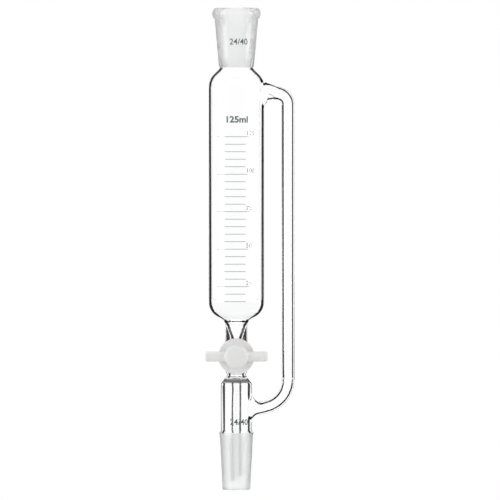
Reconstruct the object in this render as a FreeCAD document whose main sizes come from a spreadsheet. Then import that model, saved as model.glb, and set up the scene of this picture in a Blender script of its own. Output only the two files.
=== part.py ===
import FreeCAD, Part
import math
import os
import Sketcher

# Pressure-equalizing addition funnel, in millimetres.
# The origin is the centre of the lower joint's small end, +Z runs up the funnel, +X points to
# the side arm and -Y to the stopcock's handle.

# Driving sizes
SIZES = [
    ("joint_diameter", 24.0, "large end of both ground tapers"),
    ("joint_length", 40.0, "ground length of both tapers"),
    ("joint_taper", 10.0, "length over which a taper's diameter changes by 1"),
    ("joint_wall", 2.2, "wall of the lower joint"),
    ("joint_end_round", 1.2, "rounding of the lower joint's small end"),
    ("joint_lip", 0.4, "how far the lip above the lower taper stands out"),
    ("joint_lip_height", 1.2, "height of that lip"),
    ("jacket_radius", 11.25, "outside of the tube round the drip tube"),
    ("jacket_wall", 2.4, "its wall"),
    ("jacket_length", 35.5, "from the lip to the jacket's upper corner"),
    ("jacket_rise", 6.3, "from that corner to the waist above it"),
    ("jacket_round", 3.0, "rounding of that corner"),
    ("jacket_roof", 5.1, "from the waist down to the jacket's hollow"),
    ("jacket_roof_round", 1.6, "rounding of the hollow's upper corner"),
    ("ring_seal_round", 1.2, "rounding where the drip tube is fused to the jacket's roof"),
    ("waist_radius", 6.6, "waist between jacket and stopcock"),
    ("waist_height", 3.0, "from the waist up to the full stub"),
    ("waist_round", 1.5, "rounding of the waist"),
    ("stub_length", 20.0, "from the jacket's upper corner to the stopcock's axis"),
    ("drip_tube_radius", 4.0, "outside of the drip tube"),
    ("drip_tube_bore", 4.4, "bore of the drip tube"),
    ("drip_tip_height", 6.0, "from the lower joint's end up to the drip tube's tip"),
    ("drip_tip_slant", 27.0, "angle of the ground-off tip, in degrees"),
    ("drip_bore_run", 14.5, "from the stopcock's axis down to the full drip tube bore"),
    ("drip_cone_height", 5.0, "height over which that bore opens"),
    ("barrel_front", 14.0, "stopcock barrel, from the funnel's axis to its front end"),
    ("barrel_back", 15.0, "from the funnel's axis to its back end"),
    ("barrel_front_radius", 9.2, "outside of the barrel at the front"),
    ("barrel_back_radius", 7.6, "outside of the barrel at the back"),
    ("barrel_end_round", 0.8, "fire-polished front edge of the barrel"),
    ("barrel_weld", 1.5, "rounding where the barrel is fused to neck and stub"),
    ("plug_radius", 5.8, "taper of the plug at the funnel's axis"),
    ("plug_taper", 5.0, "length over which the plug's diameter changes by 1"),
    ("plug_clearance", 0.05, "running gap between plug and barrel, on the radius"),
    ("stopcock_bore", 2.0, "bore through plug and barrel"),
    ("neck_radius", 7.95, "outside of the neck under the reservoir"),
    ("neck_length", 26.0, "from the stopcock's axis to the neck's upper corner"),
    ("neck_cone_start", 12.3, "from the stopcock's axis to where the bore opens"),
    ("neck_cone_angle", 21.3, "half angle of the opening bore, in degrees"),
    ("neck_round", 6.0, "outside rounding from neck to reservoir"),
    ("reservoir_radius", 20.0, "outside of the reservoir"),
    ("reservoir_wall", 2.2, "its wall"),
    ("reservoir_length", 168.8, "between its lower and upper corners"),
    ("floor_slope", 25.3, "slope of the reservoir's floor, in degrees"),
    ("floor_round", 12.0, "outside rounding of the floor"),
    ("shoulder_slope", 45.0, "slope of the reservoir's shoulder, in degrees"),
    ("shoulder_round", 13.0, "outside rounding of the shoulder"),
    ("socket_waist_radius", 11.7, "outside where shoulder and socket meet"),
    ("socket_foot_wall", 2.75, "wall of the socket at its foot"),
    ("socket_top_wall", 3.7, "wall of the socket under its bead"),
    ("socket_foot_height", 1.5, "from that waist to the socket's foot"),
    ("socket_waist_round", 0.8, "outside rounding of that waist"),
    ("socket_throat_round", 3.0, "rounding under the ground taper, inside"),
    ("bead_radius", 17.5, "outside of the bead at the socket's mouth"),
    ("bead_height", 7.9, "height of the bead"),
    ("mouth_lead", 3.3, "height of the flare above the ground taper"),
    ("mouth_flare", 1.4, "how far the mouth flares"),
    ("mouth_round", 1.0, "rounding of the mouth's edge"),
    ("arm_radius", 4.65, "outside of the side arm"),
    ("arm_wall", 1.5, "its wall"),
    ("arm_gap", 12.85, "between the reservoir and the side arm"),
    ("arm_top_drop", 18.0, "from the shoulder's corner down to the arm's upper bend"),
    ("arm_top_bend", 8.0, "centre line radius of the upper bend"),
    ("arm_top_slope", 17.0, "slope of the arm where it leaves the reservoir, in degrees"),
    ("arm_top_flare", 8.0, "flare of the arm at the reservoir"),
    ("arm_foot_rise", 2.9, "from the jacket's corner up to the arm's lower bend"),
    ("arm_foot_bend", 20.0, "centre line radius of the lower bend"),
    ("arm_foot_slope", 15.0, "slope of the arm where it meets the jacket, in degrees"),
    ("arm_foot_flare", 6.5, "flare of the arm at the jacket"),
    ("hub_gap", 0.8, "between the barrel's front end and the handle's flange"),
    ("flange_radius", 13.1, "round flange between barrel and handle"),
    ("flange_thickness", 2.2, "its thickness"),
    ("flange_round", 0.7, "rounding of its rims"),
    ("flange_root_round", 0.8, "rounding where hub and flange meet"),
    ("hub_radius", 8.3, "hub of the handle"),
    ("hub_length", 14.0, "length of hub and flange"),
    ("hub_round", 2.1, "rounding of the hub's face"),
    ("bar_length", 45.0, "handle bar, from end to end"),
    ("bar_height", 7.2, "its height"),
    ("bar_depth", 7.2, "its depth"),
    ("bar_setback", 2.5, "from the hub's face back to the bar's front"),
    ("bar_round", 3.0, "rounding along the bar"),
    ("bar_end_round", 1.2, "rounding of the bar's ends"),
    ("bar_root_round", 1.0, "rounding where bar and hub meet"),
    ("stem_radius", 3.9, "threaded stem behind the plug"),
    ("stem_flat", 3.2, "from the stem's axis to the flat that keys the washer"),
    ("stem_past_nut", 1.6, "stem standing out behind the nut"),
    ("stem_chamfer", 0.8, "chamfer of the stem's end"),
    ("stem_start", 0.6, "how far inside the barrel the plug's taper ends"),
    ("washer_gap", 0.1, "running gap between the barrel and the washer"),
    ("washer_radius", 7.8, "outside of the washer"),
    ("washer_thickness", 1.5, "its thickness"),
    ("stem_clearance", 0.15, "gap round the stem in washer and ring"),
    ("ring_section", 2.0, "section of the rubber ring"),
    ("ring_seat", 0.03, "gap between the rubber ring and its neighbours"),
    ("nut_radius", 10.8, "outside of the nut"),
    ("nut_height", 9.0, "its height"),
    ("nut_round", 1.0, "rounding of the nut's rims"),
    ("nut_clearance", 0.1, "gap between the nut's thread and the stem's"),
    ("nut_boss_radius", 7.6, "raised face of the nut that presses the ring"),
    ("nut_boss_height", 1.2, "height of that face"),
    ("flute_count", 18, "grip flutes round the nut"),
    ("flute_radius", 1.6, "radius of a flute"),
    ("flute_depth", 0.5, "depth of a flute"),
]

doc = FreeCAD.newDocument("addition_funnel")
sheet = doc.addObject("Spreadsheet::Sheet", "dims")
for row, (name, size, note) in enumerate(SIZES, start=1):
    sheet.set(f"A{row}", name)
    sheet.set(f"B{row}", str(size))
    sheet.set(f"C{row}", note)
    sheet.setAlias(f"B{row}", name)
doc.recompute()

# Heights above the lower joint's end, as expressions of the driving sizes
JACKET_FOOT = "(dims.joint_length + dims.joint_lip_height)"
JACKET_CORNER = f"({JACKET_FOOT} + dims.jacket_length)"
WAIST = f"({JACKET_CORNER} + dims.jacket_rise)"
STOPCOCK_AXIS = f"({JACKET_CORNER} + dims.stub_length)"
NECK_CORNER = f"({STOPCOCK_AXIS} + dims.neck_length)"
FLOOR_RISE = "(dims.reservoir_radius - dims.neck_radius) * tan(dims.floor_slope * 1 deg)"
FLOOR_CORNER = f"({NECK_CORNER} + {FLOOR_RISE})"
SHOULDER_CORNER = f"({FLOOR_CORNER} + dims.reservoir_length)"
SHOULDER_RISE = "(dims.reservoir_radius - dims.socket_waist_radius) * tan(dims.shoulder_slope * 1 deg)"
SOCKET_WAIST = f"({SHOULDER_CORNER} + {SHOULDER_RISE})"
SOCKET_FOOT = f"({SOCKET_WAIST} + dims.socket_foot_height)"
TAPER_TOP = f"({SOCKET_WAIST} + dims.joint_length)"
RIM = f"({TAPER_TOP} + dims.mouth_lead)"
BEAD_FOOT = f"({RIM} - dims.bead_height)"

# Radii that follow from the driving sizes
TAPER_LARGE = "(dims.joint_diameter / 2)"
TAPER_SMALL = f"({TAPER_LARGE} - dims.joint_length / dims.joint_taper / 2)"
JACKET_BORE = "(dims.jacket_radius - dims.jacket_wall)"
RESERVOIR_BORE = "(dims.reservoir_radius - dims.reservoir_wall)"
SOCKET_TOP = f"({TAPER_LARGE} + dims.socket_top_wall)"
SOCKET_FOOT_RADIUS = f"({TAPER_SMALL} + dims.socket_foot_wall)"
ARM_OFFSET = "(dims.reservoir_radius + dims.arm_gap + dims.arm_radius)"
BORE_RADIUS = "(dims.stopcock_bore / 2)"
BEAD_SWELL = f"(dims.bead_radius - {SOCKET_TOP})"
BEAD_SECTION = f"((dims.bead_height ^ 2 / 4 + {BEAD_SWELL} ^ 2) / (2 * {BEAD_SWELL}))"

# Places along the stopcock's axis, from the funnel's axis to the back
HUB_BACK = "(dims.barrel_front + dims.hub_gap)"
FLANGE_FACE = f"({HUB_BACK} + dims.flange_thickness)"
HUB_FACE = f"({HUB_BACK} + dims.hub_length)"
BAR_CENTRE = f"({HUB_FACE} - dims.bar_setback - dims.bar_depth / 2)"
STEM_FOOT = "(dims.barrel_back - dims.stem_start)"
WASHER_SEAT = "(dims.barrel_back + dims.washer_gap)"
RING_SEAT = f"({WASHER_SEAT} + dims.washer_thickness + dims.ring_seat)"
NUT_SEAT = f"({RING_SEAT} + dims.ring_section + dims.ring_seat)"
STEM_END = f"({NUT_SEAT} + dims.nut_height + dims.stem_past_nut)"

# How close a point lies to a surface that it is on, and how many points of an edge are tested
NEAR = 1e-3
TESTED_POINTS = 7


def value(expression):
    """Number that an expression of the driving sizes gives."""
    result = sheet.evalExpression(str(expression))
    return float(getattr(result, "Value", result))


def new_body(name):
    body = doc.addObject("PartDesign::Body", name)
    body.Label = name
    doc.recompute()
    return body


def new_sketch(body, name, plane, lift="0"):
    """Sketch on one of the body's origin planes, lifted along that plane's normal."""
    sketch = body.newObject("Sketcher::SketchObject", name)
    support = next(item for item in body.Origin.OriginFeatures if item.Role == plane)
    sketch.AttachmentSupport = [(support, "")]
    sketch.MapMode = "FlatFace"
    sketch.setExpression("AttachmentOffset.Base.z", lift)
    doc.recompute()
    return sketch


def pin_point(sketch, geometry, point, place):
    """Holds a sketch point at a place given as two expressions."""
    for kind, axis, expression in (("DistanceX", -2, place[0]), ("DistanceY", -1, place[1])):
        if str(expression) == "0":
            sketch.addConstraint(Sketcher.Constraint("PointOnObject", geometry, point, axis))
            continue
        number = sketch.addConstraint(
            Sketcher.Constraint(kind, -1, 1, geometry, point, value(expression))
        )
        sketch.setExpression(f"Constraints[{number}]", str(expression))


def bulge(start, end, radius):
    """Arc from start to end that swells to the right of the way it runs."""
    chord = end - start
    side = FreeCAD.Vector(chord.y, -chord.x, 0).normalize()
    swell = radius - math.sqrt(radius**2 - (chord.Length / 2) ** 2)
    return Part.Arc(start, (start + end) * 0.5 + side * swell, end)


def draw_outline(sketch, corners, arcs=None):
    """Closed outline through corners; arcs gives a radius where the side after a corner swells."""
    arcs = arcs or {}
    places = [FreeCAD.Vector(value(across), value(along), 0) for across, along in corners]
    ends = []
    for index, start in enumerate(places):
        finish = places[(index + 1) % len(places)]
        if index in arcs:
            side = sketch.addGeometry(bulge(start, finish, value(arcs[index])), False)
            first = 1 if sketch.getPoint(side, 1).isEqual(start, NEAR) else 2
        else:
            side = sketch.addGeometry(Part.LineSegment(start, finish), False)
            first = 1
        ends.append((side, first, 3 - first))
    for index, (side, first, last) in enumerate(ends):
        following = ends[(index + 1) % len(ends)]
        sketch.addConstraint(
            Sketcher.Constraint("Coincident", side, last, following[0], following[1])
        )
        pin_point(sketch, side, first, corners[index])
        if index in arcs:
            number = sketch.addConstraint(Sketcher.Constraint("Radius", side, value(arcs[index])))
            sketch.setExpression(f"Constraints[{number}]", arcs[index])
    doc.recompute()


def draw_circle(sketch, place, radius):
    centre = FreeCAD.Vector(value(place[0]), value(place[1]), 0)
    circle = Part.Circle(centre, FreeCAD.Vector(0, 0, 1), value(radius))
    ring = sketch.addGeometry(circle, False)
    pin_point(sketch, ring, 3, place)
    number = sketch.addConstraint(Sketcher.Constraint("Radius", ring, value(radius)))
    sketch.setExpression(f"Constraints[{number}]", radius)
    doc.recompute()


def draw_keyed_circle(sketch, radius, flat):
    """Circle round the sketch's origin with a flat across its upper side."""
    reach = value(radius)
    height = value(flat)
    half = math.sqrt(reach**2 - height**2)
    left = FreeCAD.Vector(-half, height, 0)
    right = FreeCAD.Vector(half, height, 0)
    arc = sketch.addGeometry(Part.Arc(left, FreeCAD.Vector(0, -reach, 0), right), False)
    line = sketch.addGeometry(Part.LineSegment(right, left), False)
    first = 1 if sketch.getPoint(arc, 1).isEqual(left, NEAR) else 2
    sketch.addConstraint(Sketcher.Constraint("Coincident", arc, 3, -1, 1))
    sketch.addConstraint(Sketcher.Constraint("Coincident", arc, 3 - first, line, 1))
    sketch.addConstraint(Sketcher.Constraint("Coincident", arc, first, line, 2))
    sketch.addConstraint(Sketcher.Constraint("Horizontal", line))
    number = sketch.addConstraint(Sketcher.Constraint("Radius", arc, reach))
    sketch.setExpression(f"Constraints[{number}]", radius)
    number = sketch.addConstraint(Sketcher.Constraint("DistanceY", -1, 1, line, 1, height))
    sketch.setExpression(f"Constraints[{number}]", flat)
    doc.recompute()


def settle(feature, before, change):
    """Recomputes and makes sure that the feature added or cut, as it should."""
    doc.recompute()
    volume = feature.Shape.Volume
    if "Invalid" in feature.State or (volume - before) * change <= 0:
        raise RuntimeError(f"{feature.Name} doesn't change the solid as it should")
    return feature


def volume_of(body):
    return body.Shape.Volume if body.Tip and not body.Shape.isNull() else 0.0


def turned(body, name, sketch, cut=False, axis="V_Axis"):
    """Revolution or groove of a sketch about one of its own axes."""
    before = volume_of(body)
    feature = body.newObject("PartDesign::Groove" if cut else "PartDesign::Revolution", name)
    feature.Profile = sketch
    feature.ReferenceAxis = (sketch, [axis])
    feature.Angle = 360
    sketch.Visibility = False
    return settle(feature, before, -1 if cut else 1)


def straight(body, name, sketch, length, cut=False, both_ways=False, flip=False):
    """Pad or pocket of a sketch."""
    before = volume_of(body)
    feature = body.newObject("PartDesign::Pocket" if cut else "PartDesign::Pad", name)
    feature.Profile = sketch
    feature.Midplane = both_ways
    feature.Reversed = flip
    feature.setExpression("Length", length)
    return settle(feature, before, -1 if cut else 1)


def ring_edges(shape, radius, centre):
    """Names of the circular edges with this radius and centre."""
    names = []
    for number, edge in enumerate(shape.Edges, start=1):
        curve = edge.Curve
        if not isinstance(curve, Part.Circle) or abs(curve.Radius - radius) > NEAR:
            continue
        if (curve.Center - centre).Length < NEAR:
            names.append(f"Edge{number}")
    return names


def meeting_edges(shape, older, on_newer):
    """Names of the edges where a newer surface, told by a test of a point, meets an older solid."""
    names = []
    for number, edge in enumerate(shape.Edges, start=1):
        points = edge.discretize(TESTED_POINTS)
        if not all(on_newer(point) for point in points):
            continue
        if all(older.distToShape(Part.Vertex(point))[0] < NEAR for point in points):
            names.append(f"Edge{number}")
    return names


def rounded(body, name, edges, radius):
    """Fillet of named edges of the body's last feature."""
    if not edges:
        raise RuntimeError(f"{name} finds no edge")
    base = body.Tip
    feature = body.newObject("PartDesign::Fillet", name)
    feature.Base = (base, edges)
    feature.setExpression("Radius", radius)
    doc.recompute()
    if "Invalid" in feature.State:
        raise RuntimeError(f"{name} fails")
    return feature


def rounded_ring(body, name, place, radius):
    """Fillet of the circle about the Z axis that a corner of an outline made."""
    centre = FreeCAD.Vector(0, 0, value(place[1]))
    return rounded(body, name, ring_edges(body.Shape, value(place[0]), centre), radius)


# Glass body: one piece of blown and fused glass
glass = new_body("glass_body")

LIP_RADIUS = f"({TAPER_LARGE} + dims.joint_lip)"
STUB_FOOT = f"({WAIST} + dims.waist_height)"
outer = new_sketch(glass, "outer_outline", "XZ_Plane")
draw_outline(
    outer,
    [
        ("0", "0"),
        (TAPER_SMALL, "0"),
        (TAPER_LARGE, "dims.joint_length"),
        (LIP_RADIUS, "dims.joint_length"),
        (LIP_RADIUS, JACKET_FOOT),
        ("dims.jacket_radius", f"{JACKET_FOOT} + dims.joint_lip_height"),
        ("dims.jacket_radius", JACKET_CORNER),
        ("dims.waist_radius", WAIST),
        ("dims.neck_radius", STUB_FOOT),
        ("dims.neck_radius", NECK_CORNER),
        ("dims.reservoir_radius", FLOOR_CORNER),
        ("dims.reservoir_radius", SHOULDER_CORNER),
        ("dims.socket_waist_radius", SOCKET_WAIST),
        (SOCKET_FOOT_RADIUS, SOCKET_FOOT),
        (SOCKET_TOP, BEAD_FOOT),
        (SOCKET_TOP, RIM),
        ("0", RIM),
    ],
    arcs={14: BEAD_SECTION},
)
turned(glass, "outer_form", outer)
rounded_ring(glass, "joint_end", (TAPER_SMALL, "0"), "dims.joint_end_round")
rounded_ring(glass, "jacket_corner", ("dims.jacket_radius", JACKET_CORNER), "dims.jacket_round")
rounded_ring(glass, "waist", ("dims.waist_radius", WAIST), "dims.waist_round")
rounded_ring(glass, "neck_bend", ("dims.neck_radius", NECK_CORNER), "dims.neck_round")
rounded_ring(glass, "floor_bend", ("dims.reservoir_radius", FLOOR_CORNER), "dims.floor_round")
rounded_ring(
    glass, "shoulder_bend", ("dims.reservoir_radius", SHOULDER_CORNER), "dims.shoulder_round"
)
rounded_ring(
    glass, "socket_waist", ("dims.socket_waist_radius", SOCKET_WAIST), "dims.socket_waist_round"
)

barrel = new_sketch(glass, "barrel_outline", "XY_Plane", STOPCOCK_AXIS)
draw_outline(
    barrel,
    [
        ("0", "-dims.barrel_front"),
        ("dims.barrel_front_radius", "-dims.barrel_front"),
        ("dims.barrel_back_radius", "dims.barrel_back"),
        ("0", "dims.barrel_back"),
    ],
)
before_barrel = glass.Shape.copy()
turned(glass, "barrel", barrel)


def on_barrel(point):
    """Whether a point lies on the barrel's tapered outside."""
    front = value("dims.barrel_front_radius")
    back = value("dims.barrel_back_radius")
    share = (point.y + value("dims.barrel_front")) / value("dims.barrel_front + dims.barrel_back")
    off_axis = math.hypot(point.x, point.z - value(STOPCOCK_AXIS))
    return abs(off_axis - front - (back - front) * share) < NEAR


rounded(
    glass, "barrel_weld", meeting_edges(glass.Shape, before_barrel, on_barrel), "dims.barrel_weld"
)
barrel_front_centre = FreeCAD.Vector(0, -value("dims.barrel_front"), value(STOPCOCK_AXIS))
rounded(
    glass,
    "barrel_end",
    ring_edges(glass.Shape, value("dims.barrel_front_radius"), barrel_front_centre),
    "dims.barrel_end_round",
)

# Side arm: centre line in the XZ plane, from inside the reservoir to inside the jacket
TOP_BEND_END = f"({SHOULDER_CORNER} - dims.arm_top_drop)"
FOOT_BEND_END = f"({JACKET_CORNER} + dims.arm_foot_rise)"
TOP_TURN = "(90 - dims.arm_top_slope)"
FOOT_TURN = "(90 - dims.arm_foot_slope)"
TOP_BEND_START = (
    f"({ARM_OFFSET} - dims.arm_top_bend * (1 - cos({TOP_TURN} * 1 deg)))",
    f"({TOP_BEND_END} + dims.arm_top_bend * sin({TOP_TURN} * 1 deg))",
)
FOOT_BEND_START = (
    f"({ARM_OFFSET} - dims.arm_foot_bend * (1 - cos({FOOT_TURN} * 1 deg)))",
    f"({FOOT_BEND_END} - dims.arm_foot_bend * sin({FOOT_TURN} * 1 deg))",
)
ARM_START_ACROSS = f"({RESERVOIR_BORE} - dims.arm_radius)"
ARM_START = (
    ARM_START_ACROSS,
    f"({TOP_BEND_START[1]} + ({TOP_BEND_START[0]} - {ARM_START_ACROSS})"
    " * tan(dims.arm_top_slope * 1 deg))",
)
ARM_FINISH_ACROSS = f"(({JACKET_BORE} + dims.drip_tube_radius) / 2)"
ARM_FINISH = (
    ARM_FINISH_ACROSS,
    f"({FOOT_BEND_START[1]} - ({FOOT_BEND_START[0]} - {ARM_FINISH_ACROSS})"
    " * tan(dims.arm_foot_slope * 1 deg))",
)


def arm_path(name):
    """Centre line of the side arm: slope, bend, straight run, bend, slope."""
    path = new_sketch(glass, name, "XZ_Plane")
    stops = [ARM_START, TOP_BEND_START, (ARM_OFFSET, TOP_BEND_END)]
    stops += [(ARM_OFFSET, FOOT_BEND_END), FOOT_BEND_START, ARM_FINISH]
    bends = {1: "dims.arm_top_bend", 3: "dims.arm_foot_bend"}
    places = [FreeCAD.Vector(value(across), value(up), 0) for across, up in stops]
    last_end = None
    for index, (start, finish) in enumerate(zip(places, places[1:])):
        if index in bends:
            shape = bulge(finish, start, value(bends[index]))
        else:
            shape = Part.LineSegment(start, finish)
        piece = path.addGeometry(shape, False)
        first = 1 if path.getPoint(piece, 1).isEqual(start, NEAR) else 2
        if last_end:
            path.addConstraint(Sketcher.Constraint("Coincident", *last_end, piece, first))
        pin_point(path, piece, first, stops[index])
        if index in bends:
            number = path.addConstraint(
                Sketcher.Constraint("Radius", piece, value(bends[index]))
            )
            path.setExpression(f"Constraints[{number}]", bends[index])
        last_end = (piece, 3 - first)
    pin_point(path, *last_end, stops[-1])
    doc.recompute()
    return path


def arm_section(name, radius):
    """Circle square to the centre line at its upper end."""
    section = new_sketch(glass, name, "YZ_Plane", ARM_START[0])
    offset = section.AttachmentOffset
    offset.Rotation = FreeCAD.Rotation(FreeCAD.Vector(1, 0, 0), value("dims.arm_top_slope"))
    section.AttachmentOffset = offset
    section.setExpression("AttachmentOffset.Base.y", ARM_START[1])
    section.setExpression("AttachmentOffset.Rotation.Angle", "dims.arm_top_slope")
    draw_circle(section, ("0", "0"), radius)
    return section


def arm_pipe(name, radius, cut):
    before = volume_of(glass)
    path = arm_path(f"{name}_path")
    section = arm_section(f"{name}_section", radius)
    feature = glass.newObject(
        "PartDesign::SubtractivePipe" if cut else "PartDesign::AdditivePipe", name
    )
    feature.Profile = section
    feature.Spine = (path, [])
    settle(feature, before, -1 if cut else 1)
    return path


before_arm = glass.Shape.copy()
arm_line = arm_pipe("side_arm", "dims.arm_radius", cut=False)


def on_arm(point):
    """Whether a point lies on the side arm's outside."""
    off_line = arm_line.Shape.distToShape(Part.Vertex(point))[0]
    return abs(off_line - value("dims.arm_radius")) < NEAR


def on_arm_top(point):
    return point.z > value(FLOOR_CORNER) and on_arm(point)


def on_arm_foot(point):
    return point.z < value(FLOOR_CORNER) and on_arm(point)


rounded(
    glass,
    "arm_top_flare",
    meeting_edges(glass.Shape, before_arm, on_arm_top),
    "dims.arm_top_flare",
)
rounded(
    glass,
    "arm_foot_flare",
    meeting_edges(glass.Shape, before_arm, on_arm_foot),
    "dims.arm_foot_flare",
)

# Hollows: socket and reservoir, jacket, drip tube, side arm and the plug's seat
FLOOR_INNER = (
    f"({FLOOR_CORNER} - dims.reservoir_wall * tan(dims.floor_slope * 1 deg)"
    " + dims.reservoir_wall / cos(dims.floor_slope * 1 deg))"
)
SHOULDER_INNER = (
    f"({SHOULDER_CORNER} + dims.reservoir_wall * tan(dims.shoulder_slope * 1 deg)"
    " - dims.reservoir_wall / cos(dims.shoulder_slope * 1 deg))"
)
SHOULDER_TOP_INNER = (
    f"({SHOULDER_INNER} + ({RESERVOIR_BORE} - {TAPER_SMALL}) * tan(dims.shoulder_slope * 1 deg))"
)
CONE_START = f"({STOPCOCK_AXIS} + dims.neck_cone_start)"
CONE_REACH = (
    f"(({FLOOR_INNER} - {CONE_START} - ({RESERVOIR_BORE} - {BORE_RADIUS})"
    " * tan(dims.floor_slope * 1 deg))"
    " / (1 / tan(dims.neck_cone_angle * 1 deg) - tan(dims.floor_slope * 1 deg)))"
)
CONE_TOP_RADIUS = f"({BORE_RADIUS} + {CONE_REACH})"
CONE_TOP = f"({CONE_START} + {CONE_REACH} / tan(dims.neck_cone_angle * 1 deg))"
reservoir = new_sketch(glass, "reservoir_outline", "XZ_Plane")
draw_outline(
    reservoir,
    [
        ("0", STOPCOCK_AXIS),
        (BORE_RADIUS, STOPCOCK_AXIS),
        (BORE_RADIUS, CONE_START),
        (CONE_TOP_RADIUS, CONE_TOP),
        (RESERVOIR_BORE, FLOOR_INNER),
        (RESERVOIR_BORE, SHOULDER_INNER),
        (TAPER_SMALL, SHOULDER_TOP_INNER),
        (TAPER_SMALL, SOCKET_WAIST),
        (TAPER_LARGE, TAPER_TOP),
        (f"{TAPER_LARGE} + dims.mouth_flare", RIM),
        ("0", RIM),
    ],
)
turned(glass, "reservoir_hollow", reservoir, cut=True)
rounded_ring(glass, "neck_bend_inside", (CONE_TOP_RADIUS, CONE_TOP), "dims.neck_round")
rounded_ring(
    glass,
    "floor_bend_inside",
    (RESERVOIR_BORE, FLOOR_INNER),
    "dims.floor_round - dims.reservoir_wall",
)
rounded_ring(
    glass,
    "shoulder_bend_inside",
    (RESERVOIR_BORE, SHOULDER_INNER),
    "dims.shoulder_round - dims.reservoir_wall",
)
rounded_ring(
    glass, "socket_throat", (TAPER_SMALL, SHOULDER_TOP_INNER), "dims.socket_throat_round"
)
rounded_ring(
    glass, "mouth_edge", (f"{TAPER_LARGE} + dims.mouth_flare", RIM), "dims.mouth_round"
)

JACKET_HOLLOW_TOP = f"({WAIST} - dims.jacket_roof)"
BULGE_TOP = "(dims.joint_length - dims.joint_lip_height)"
BULGE_RADIUS = f"({TAPER_SMALL} - dims.joint_wall + {BULGE_TOP} / dims.joint_taper / 2)"
jacket = new_sketch(glass, "jacket_outline", "XZ_Plane")
draw_outline(
    jacket,
    [
        ("0", "0"),
        (f"{TAPER_SMALL} - dims.joint_wall", "0"),
        (BULGE_RADIUS, BULGE_TOP),
        (JACKET_BORE, f"{JACKET_FOOT} + dims.joint_lip_height"),
        (JACKET_BORE, JACKET_HOLLOW_TOP),
        ("dims.drip_tube_radius", JACKET_HOLLOW_TOP),
        ("dims.drip_tube_radius", "dims.drip_tip_height"),
        ("0", "dims.drip_tip_height"),
    ],
)
turned(glass, "jacket_hollow", jacket, cut=True)
rounded_ring(
    glass,
    "jacket_roof_corner",
    (JACKET_BORE, JACKET_HOLLOW_TOP),
    "dims.jacket_roof_round",
)
rounded_ring(
    glass,
    "ring_seal_corner",
    ("dims.drip_tube_radius", JACKET_HOLLOW_TOP),
    "dims.ring_seal_round",
)

DRIP_BORE_TOP = f"({STOPCOCK_AXIS} - dims.drip_bore_run)"
drip = new_sketch(glass, "drip_bore_outline", "XZ_Plane")
draw_outline(
    drip,
    [
        ("0", "dims.drip_tip_height"),
        ("dims.drip_tube_bore / 2", "dims.drip_tip_height"),
        ("dims.drip_tube_bore / 2", DRIP_BORE_TOP),
        (BORE_RADIUS, f"{DRIP_BORE_TOP} + dims.drip_cone_height"),
        (BORE_RADIUS, STOPCOCK_AXIS),
        ("0", STOPCOCK_AXIS),
    ],
)
turned(glass, "drip_bore", drip, cut=True)

arm_pipe("side_arm_bore", "dims.arm_radius - dims.arm_wall", cut=True)

SEAT_FRONT = "(dims.plug_radius + dims.plug_clearance + dims.barrel_front / dims.plug_taper / 2)"
SEAT_BACK = "(dims.plug_radius + dims.plug_clearance - dims.barrel_back / dims.plug_taper / 2)"
seat = new_sketch(glass, "seat_outline", "XY_Plane", STOPCOCK_AXIS)
draw_outline(
    seat,
    [
        ("0", "-dims.barrel_front"),
        (SEAT_FRONT, "-dims.barrel_front"),
        (SEAT_BACK, "dims.barrel_back"),
        ("0", "dims.barrel_back"),
    ],
)
turned(glass, "plug_seat", seat, cut=True)

TIP_RISE = "(2 * dims.drip_tube_radius * tan(dims.drip_tip_slant * 1 deg))"
tip = new_sketch(glass, "tip_outline", "XZ_Plane")
draw_outline(
    tip,
    [
        ("-dims.drip_tube_radius", "dims.drip_tip_height"),
        ("dims.drip_tube_radius", "dims.drip_tip_height"),
        ("dims.drip_tube_radius", f"dims.drip_tip_height + {TIP_RISE}"),
    ],
)
straight(glass, "drip_tip", tip, "2 * dims.drip_tube_radius", cut=True, both_ways=True)

# Plug and T-handle: one turned piece of fluoropolymer, its bore in line with the handle
plug = new_body("stopcock_plug")
plug.setExpression(".Placement.Base.z", STOPCOCK_AXIS)

bar = new_sketch(plug, "bar_outline", "YZ_Plane")
draw_outline(
    bar,
    [
        (f"-({BAR_CENTRE} + dims.bar_depth / 2)", "-dims.bar_height / 2"),
        (f"-({BAR_CENTRE} - dims.bar_depth / 2)", "-dims.bar_height / 2"),
        (f"-({BAR_CENTRE} - dims.bar_depth / 2)", "dims.bar_height / 2"),
        (f"-({BAR_CENTRE} + dims.bar_depth / 2)", "dims.bar_height / 2"),
    ],
)
straight(plug, "bar", bar, "dims.bar_length", both_ways=True)
long_edges = [
    f"Edge{number}"
    for number, edge in enumerate(plug.Shape.Edges, start=1)
    if abs(edge.Length - value("dims.bar_length")) < NEAR
]
rounded(plug, "bar_rounding", long_edges, "dims.bar_round")


def on_bar_end(point):
    """Whether a point lies on one of the bar's two ends."""
    return abs(abs(point.x) - value("dims.bar_length / 2")) < NEAR


end_edges = [
    f"Edge{number}"
    for number, edge in enumerate(plug.Shape.Edges, start=1)
    if all(on_bar_end(point) for point in edge.discretize(TESTED_POINTS))
]
rounded(plug, "bar_ends", end_edges, "dims.bar_end_round")
before_hub = plug.Tip.Shape.copy()

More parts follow.
